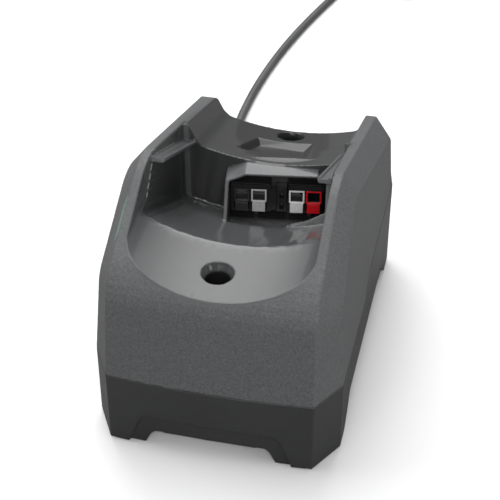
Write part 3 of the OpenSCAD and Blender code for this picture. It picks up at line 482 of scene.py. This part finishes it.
# Masks for the finish and for its painted light and shade: each part of the cradle, the wells for the wall
# screws and the inside of the hood.
# The values are reaches in mm, the hood's in the frame of the contacts.
side_wall_x = (41, 43)
fittings_x, fittings_y, fittings_from = (43.2, 43.5), (-34, 84), 55
well_mouth, well_bore, wells_from = (7.6, 8.0), (5.9, 6.4), 20
hood_front, hood_u, hood_from, hood_cover = (-1.5, 1.5), (-28, 23.1), 1.6, 0.45
ceiling_u, ceiling_w = [-27.5, -23.4, -18.6, 17.7, 18.7, 22.6], [26.3, 27.9, 30.3, 30.3, 27.1, 27.1]
spots = spots_of(upper)
wall_gap = back_wall_gap(spots)
in_ramp, in_slide, in_deck = (soft_mask(gap) for gap, _ in cradle_skins(spots))
across, deep, high = np.abs(spots[:, 0]), spots[:, 1], spots[:, 2]
in_wall = np.maximum(soft_mask(wall_gap), in_slide * (1 - soft_mask(across, *side_wall_x)))
in_fittings = soft_mask(across, *fittings_x) * (deep > fittings_y[0]) * (deep < fittings_y[1])
in_fittings = in_fittings * (high > fittings_from)
well_gap = np.minimum(*(np.hypot(spots[:, 0] - x, deep - y) for x, y in (front_well, rear_well)))
in_well = soft_mask(well_gap, *well_mouth) * (high > wells_from)
in_bore = soft_mask(well_gap, *well_bore) * (high > wells_from)
along_row, into_hood, up_hood = in_contacts(spots).T
ceiling = np.interp(along_row, ceiling_u, ceiling_w)
in_hood = soft_mask(-into_hood, *hood_front) * (along_row > hood_u[0]) * (along_row < hood_u[1])
in_hood = in_hood * (up_hood > hood_from) * (up_hood < ceiling + hood_cover)
# Painted light and shade: the tone scales the colour in the cradle. It is lighter on the fittings and the
# slide, where light falls, and darker on the deck, the back wall, the wells, their bores and the hood's
# inside, where shade falls.
tone = np.ones(len(spots))
for mask, value in ((in_fittings, 1.35), (in_slide, 1.15), (in_deck, 0.55), (in_wall, 0.6), (in_well, 0.9),
                    (in_bore, 0.2), (in_hood, 0.3)):
    tone += (value - tone) * mask
inside = np.maximum.reduce([in_ramp, in_slide, in_deck, in_wall, in_fittings, in_well, in_hood])
polished = np.maximum.reduce([in_slide, in_wall, in_well])
for label, values in (("inside", inside), ("polished", polished), ("tone", tone)):
    layer = upper.data.attributes.new(label, "FLOAT", "POINT")
    layer.data.foreach_set("value", values.astype(np.float32))


def scaled(color, factor):
    return tuple(min(1, c * factor) for c in color)


def show(piece, slot, finish, *replaced):
    """Gives a piece its finish and slot, and puts it in the place of CAD nodes."""
    finish_of_slot[slot] = finish
    piece.data.materials.clear()
    piece.data.materials.append(finish)
    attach(piece, "root")
    if replaced:
        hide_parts(*replaced)
    return piece


shell_grey = (0.105, 0.107, 0.11)
rough_outside, rough_inside, less_where_polished = 0.56, 0.36, 0.19
texture_depth, texture_inside = 0.09, 0.05
shell_finish, tree, shader = start_finish("upper_shell", IOR=1.5)
speckle = use_group(tree, speckle_group, Scale=2100.0)
layers = {}
for label in ("inside", "polished", "tone"):
    layer = tree.nodes.new("ShaderNodeAttribute")
    layer.attribute_name = label
    layers[label] = layer.outputs["Fac"]
rough_tone = mixed(tree, speckle["Height"], scaled(shell_grey, 0.6), scaled(shell_grey, 1.3))
# The inside's colour is scaled by the tone layer, so it carries painted light and shade.
painted_inside_tone = tree.nodes.new("ShaderNodeVectorMath")
painted_inside_tone.operation = "SCALE"
tree.links.new(mixed(tree, speckle["Cloud"], scaled(shell_grey, 0.72), scaled(shell_grey, 0.82)),
               painted_inside_tone.inputs[0])
tree.links.new(layers["tone"], painted_inside_tone.inputs["Scale"])
tree.links.new(mixed(tree, layers["inside"], rough_tone, painted_inside_tone.outputs[0]), shader.inputs["Base Color"])
satin = mapped(tree, layers["inside"], 0, 1, rough_outside, rough_inside)
polish = math_node(tree, "MULTIPLY", layers["polished"], less_where_polished)
tree.links.new(math_node(tree, "SUBTRACT", satin, polish), shader.inputs["Roughness"])
add_bump(tree, shader, speckle["Height"], texture_depth * mm,
         mapped(tree, layers["inside"], 0, 1, 1.0, texture_inside))
show(upper, "upper_shell", shell_finish, "upper_housing")

# Guide rails: a ridge, a shallow channel and a raised lip, moulded in one with the housing's walls and
# polished by the battery. They are drawn apart so that their edges stay sharp.
rail_at, rail_length, rail_slope = (-23.0, 123.9), 73.0, math.radians(23.2)
wall_x, lip_x = 43.5, 37.0
rail_section = [(wall_x + 0.4, 0.55), (wall_x - 1, 0.55), (wall_x - 1.9, -0.35), (lip_x + 2, -0.45),
                (lip_x + 1.3, 0.35), (lip_x + 0.3, 0.35), (lip_x - 0.05, -0.1), (lip_x - 0.05, -1.5),
                (lip_x + 0.8, -2.35), (wall_x + 0.4, -2.35)]
# The front end is cut back at its lip, the rear end at its wall, and both cover the CAD model's ends
nose_length, nose_cut = 1.2, 0.75
tail_length, tail_width = 8, 8.1
cover = 0.05


def rail_point(x, along, up, side):
    y = rail_at[0] + along * math.cos(rail_slope) + up * math.sin(rail_slope)
    z = rail_at[1] - along * math.sin(rail_slope) + up * math.cos(rail_slope)
    return (side * x * mm, y * mm, z * mm)


def plastic(name, color, rough=0.45, scale=900.0, grain=0.02, spread=0.25, gloss_spread=0.08):
    """A moulded plastic or rubber with a fine grain; grain is its depth in mm."""
    finish, tree, shader = start_finish(name)
    speckle = use_group(tree, speckle_group, Scale=scale)
    tone = math_node(tree, "ADD", math_node(tree, "MULTIPLY", speckle["Height"], 0.5),
                     math_node(tree, "MULTIPLY", speckle["Cloud"], 0.5))
    tree.links.new(mixed(tree, tone, scaled(color, 1 - spread), scaled(color, 1 + spread)),
                   shader.inputs["Base Color"])
    tree.links.new(mapped(tree, speckle["Cloud"], 0, 1, rough - gloss_spread, rough + gloss_spread),
                   shader.inputs["Roughness"])
    add_bump(tree, shader, speckle["Height"], grain * mm)
    return finish


rail_finish = plastic("rail", scaled(shell_grey, 0.8), 0.3, 900.0, 0.004, 0.1, 0.05)
size = len(rail_section)
starts = [max(0, nose_length - (x - lip_x + 1) * nose_cut) - cover for x, _ in rail_section]
ends = [rail_length - max(0, (x - lip_x - 0.4)) * tail_length / tail_width + cover for x, _ in rail_section]
for side_name, side in (("left", -1), ("right", 1)):
    corners = [rail_point(x, a, up, side) for (x, up), a in zip(rail_section, starts)]
    corners += [rail_point(x, a, up, side) for (x, up), a in zip(rail_section, ends)]
    faces = [(i, (i + 1) % size, size + (i + 1) % size, size + i) for i in range(size)]
    faces += [tuple(reversed(range(size))), tuple(range(size, 2 * size))]
    if side < 0:
        faces = [tuple(reversed(f)) for f in faces]
    rail_mesh = bpy.data.meshes.new("rail_" + side_name)
    rail_mesh.from_pydata(corners, [], faces)
    rail = bpy.data.objects.new("rail_" + side_name, rail_mesh)
    scene.collection.objects.link(rail)
    edges = rail.modifiers.new("edges", "BEVEL")
    edges.width = 0.15 * mm
    edges.segments = 2
    edges.limit_method = "ANGLE"
    edges.angle_limit = math.radians(20)
    rail.modifiers.new("even", "WEIGHTED_NORMAL")
    rail_mesh.shade_smooth()
    apply_modifiers(rail)
    show(rail, "upper_shell", rail_finish)

# Lower housing: the base tray, moulded in a darker, smoother nylon. It carries the board and meets the
# upper housing at a stepped seam; four screws come up through its feet.
base_grey = (0.031, 0.0315, 0.0325)
base_voxel, base_triangles = 0.55, 150000
lower = moulded("lower_housing", "base_shell", base_voxel, 1)
thinned(lower, base_triangles)
show(lower, "base_shell", plastic("base_shell", base_grey, 0.42, 1400.0, 0.02, 0.2, 0.05), "lower_housing")

# Light guide: a clear-green acrylic bar that carries the lamp's light through the left flank, with a
# frosted face that is flush with the housing
guide_dark, guide_light = (0.1, 0.18, 0.14), (0.12, 0.22, 0.17)


def softened(node, name, slot, finish, width=0.3, segments=2):
    """A copy of a CAD node with its coplanar faces joined and its edges broken, in the node's place."""
    piece = copy_of(node, name)
    form = bmesh.new()
    form.from_mesh(piece.data)
    bmesh.ops.remove_doubles(form, verts=form.verts, dist=0.004 * mm)
    bmesh.ops.dissolve_limit(form, angle_limit=math.radians(1), verts=form.verts, edges=form.edges)
    form.to_mesh(piece.data)
    form.free()
    bevel = piece.modifiers.new("edges", "BEVEL")
    bevel.width = width * mm
    bevel.segments = segments
    bevel.limit_method = "ANGLE"
    bevel.angle_limit = math.radians(35)
    even = piece.modifiers.new("even", "WEIGHTED_NORMAL")
    even.keep_sharp = True
    piece.data.shade_smooth()
    apply_modifiers(piece)
    return show(piece, slot, finish, node)


guide_finish, tree, shader = start_finish("lens", IOR=1.45)
speckle = use_group(tree, speckle_group, Scale=2200.0)
tree.links.new(mixed(tree, speckle["Cloud"], guide_dark, guide_light), shader.inputs["Base Color"])
tree.links.new(mapped(tree, speckle["Height"], 0, 1, 0.25, 0.38), shader.inputs["Roughness"])
add_bump(tree, shader, speckle["Height"], 0.01 * mm)
softened("light_guide", "light_bar", "lens", guide_finish, 0.25)

# Contact block: the terminals' holder in black glass-filled nylon, pushed into the hood from behind,
# with the socket for the data pins between the terminals
holder_black = (0.022, 0.022, 0.023)
black_finish = plastic("contact_black", holder_black, 0.2, 700.0, 0.004, 0.2, 0.04)
softened("terminal_frame", "terminal_holder", "contact_black", black_finish, 0.25)
softened("data_connector", "data_socket", "contact_black", black_finish, 0.2)

# Terminals: four hollow coded housings in hard plastic that click into the holder. The inner faces of their
# throats get a near-black finish, which is painted shade.
terminal_colors = {"dark": (0.045, 0.045, 0.047), "grey": (0.6, 0.6, 0.61), "white": (0.93, 0.93, 0.93),
                   "red": (0.9, 0.012, 0.02)}
contact_u = {"dark": -21.3, "grey": -12.3, "white": 7.5, "red": 16.4}
throat_half, throat_levels, throat_from = 3.3, (12, 18.6), 2.9
# Painted shade: the throats' inner faces take this near-black finish, whatever the terminal's colour.
throat_shade_finish = plastic("throat", (0.05, 0.05, 0.052), 0.18, 700.0, 0.004, 0.2, 0.03)
for color_name, color in terminal_colors.items():
    coded_finish = plastic("contact_" + color_name, color, 0.22, 700.0, 0.006, 0.06, 0.04)
    terminal = softened("contact_" + color_name, "terminal_" + color_name, "contact_" + color_name,
                        coded_finish, 0.15)
    terminal.data.materials.append(throat_shade_finish)
    centers = in_contacts(np.array([p.center for p in terminal.data.polygons]) * 1000)
    for face, (u, v, w) in zip(terminal.data.polygons, centers):
        inner = (abs(u - contact_u[color_name]) < throat_half and v > throat_from
                 and throat_levels[0] < w < throat_levels[1])
        face.material_index = int(inner)

# Blades and pins: tinned copper strip and wire, pressed into the terminals and the data socket, with
# hair scratches that run along one direction
tin = (0.5, 0.47, 0.42)
scratch_group, group_in, group_out = new_group(
    "scratches", [("Stretch", "NodeSocketVector", (40.0, 900.0, 900.0))], [("Height", "NodeSocketFloat")])
stretched = scratch_group.nodes.new("ShaderNodeVectorMath")
stretched.operation = "MULTIPLY"
scratch_group.links.new(scratch_group.nodes.new("ShaderNodeTexCoord").outputs["Object"], stretched.inputs[0])
scratch_group.links.new(group_in["Stretch"], stretched.inputs[1])
scratch_group.links.new(noise(scratch_group, stretched.outputs[0], 1.0, 3, 0.6), group_out["Height"])


def metal(name, color, rough=0.3, stretch=(40.0, 900.0, 900.0)):
    """A metal with hair scratches, along X unless the stretch says otherwise."""
    finish, tree, shader = start_finish(name, Metallic=1.0)
    scratch = use_group(tree, scratch_group, Stretch=stretch)
    cloud = use_group(tree, speckle_group)["Cloud"]
    tree.links.new(mixed(tree, scratch["Height"], scaled(color, 0.75), scaled(color, 1.15)),
                   shader.inputs["Base Color"])
    tree.links.new(mapped(tree, cloud, 0, 1, rough - 0.08, rough + 0.1), shader.inputs["Roughness"])
    add_bump(tree, shader, scratch["Height"], 0.02 * mm)
    return finish


contact_finish = metal("contact_metal", tin, 0.28)
softened("contact_blades", "blades", "contact_metal", contact_finish, 0.1)
softened("data_pins", "pins", "contact_metal", contact_finish, 0.1)

# Rubber feet: four soft black discs, glued into the pockets of the housing's feet so that the charger
# doesn't slide
foot_black = (0.022, 0.022, 0.022)
softened("foot_pads", "rubber_feet", "foot", plastic("foot", foot_black, 0.7, 500.0, 0.05, 0.25), 0.4)

# Strain relief: a plain tapered sleeve of soft rubber, held in the rear wall, that keeps the lead from
# bending sharply where it leaves
relief_black = (0.03, 0.03, 0.031)
softened("strain_relief", "relief_sleeve", "relief", plastic("relief", relief_black, 0.55, 700.0, 0.03, 0.2))

# Plug and tie: a flat two-pole plug, moulded onto the lead, with nickel-plated pins, and a black tie
# that holds the coil together
plug_black, nickel, tie_black = (0.025, 0.025, 0.026), (0.62, 0.6, 0.56), (0.02, 0.02, 0.02)
plug_finish = plastic("plug", plug_black, 0.42, 900.0, 0.03, 0.2)
plug = softened("plug_body", "plug_shell", "plug", plug_finish, 0.9, 3)
pins = softened("plug_pins", "plug_contacts", "plug_metal", metal("plug_metal", nickel, 0.22), 0.5, 3)
tie = softened("cord_tie", "coil_tie", "tie", plastic("tie", tie_black, 0.5, 1200.0, 0.05, 0.3), 0.2)

# Works inside the housing: the board with its transformer, chokes, capacitors, heat sink and leads.
# Nothing opens the housing, so these keep the CAD model's meshes and get their own finishes.
mask_dark, mask_light = (0.015, 0.12, 0.05), (0.03, 0.2, 0.09)
board_finish, tree, shader = start_finish("board", Coat_Weight=0.6, Coat_Roughness=0.15)
tracks = tree.nodes.new("ShaderNodeTexBrick")
tracks.inputs["Scale"].default_value = 180
tracks.inputs["Mortar Size"].default_value = 0.03
tree.links.new(tree.nodes.new("ShaderNodeTexCoord").outputs["Object"], tracks.inputs["Vector"])
tree.links.new(mixed(tree, tracks.outputs["Fac"], mask_dark, mask_light), shader.inputs["Base Color"])
add_bump(tree, shader, tracks.outputs["Fac"], 0.03 * mm)
finish_of_slot.update({
    "board": board_finish,
    "steel": metal("steel", (0.55, 0.55, 0.56), 0.3),
    "ferrite": plastic("ferrite", (0.05, 0.05, 0.055), 0.7, 600.0, 0.08, 0.3),
    "winding_tape": plastic("winding_tape", (0.7, 0.55, 0.12), 0.3, 300.0, 0.02, 0.12),
    "capacitor_sleeve": plastic("capacitor_sleeve", (0.02, 0.02, 0.06), 0.25, 400.0, 0.01, 0.15),
    "heat_sink": metal("heat_sink", (0.7, 0.7, 0.71), 0.35, (900.0, 900.0, 40.0)),
    "chip": plastic("chip", (0.02, 0.02, 0.02), 0.6, 1500.0, 0.02, 0.2),
    "copper": metal("copper", (0.6, 0.25, 0.08), 0.25, (900.0, 900.0, 60.0)),
    "connector": plastic("connector", (0.75, 0.72, 0.62), 0.4, 700.0, 0.01, 0.06),
    "lamp": plastic("lamp", (0.7, 0.88, 0.76), 0.2, 900.0, 0.004, 0.05),
    "lead_grey": plastic("lead_grey", (0.16, 0.16, 0.17), 0.45, 500.0, 0.02, 0.15),
    "lead_red": plastic("lead_red", (0.4, 0.02, 0.02), 0.45, 500.0, 0.02, 0.15),
})
slot_of = {part["node"]: part["material_slot"] for part in frame["record"]["subparts"]}
for node, piece in nodes.items():
    if not piece.hide_render:
        piece.data.materials.clear()
        piece.data.materials.append(finish_of_slot[slot_of[node]])
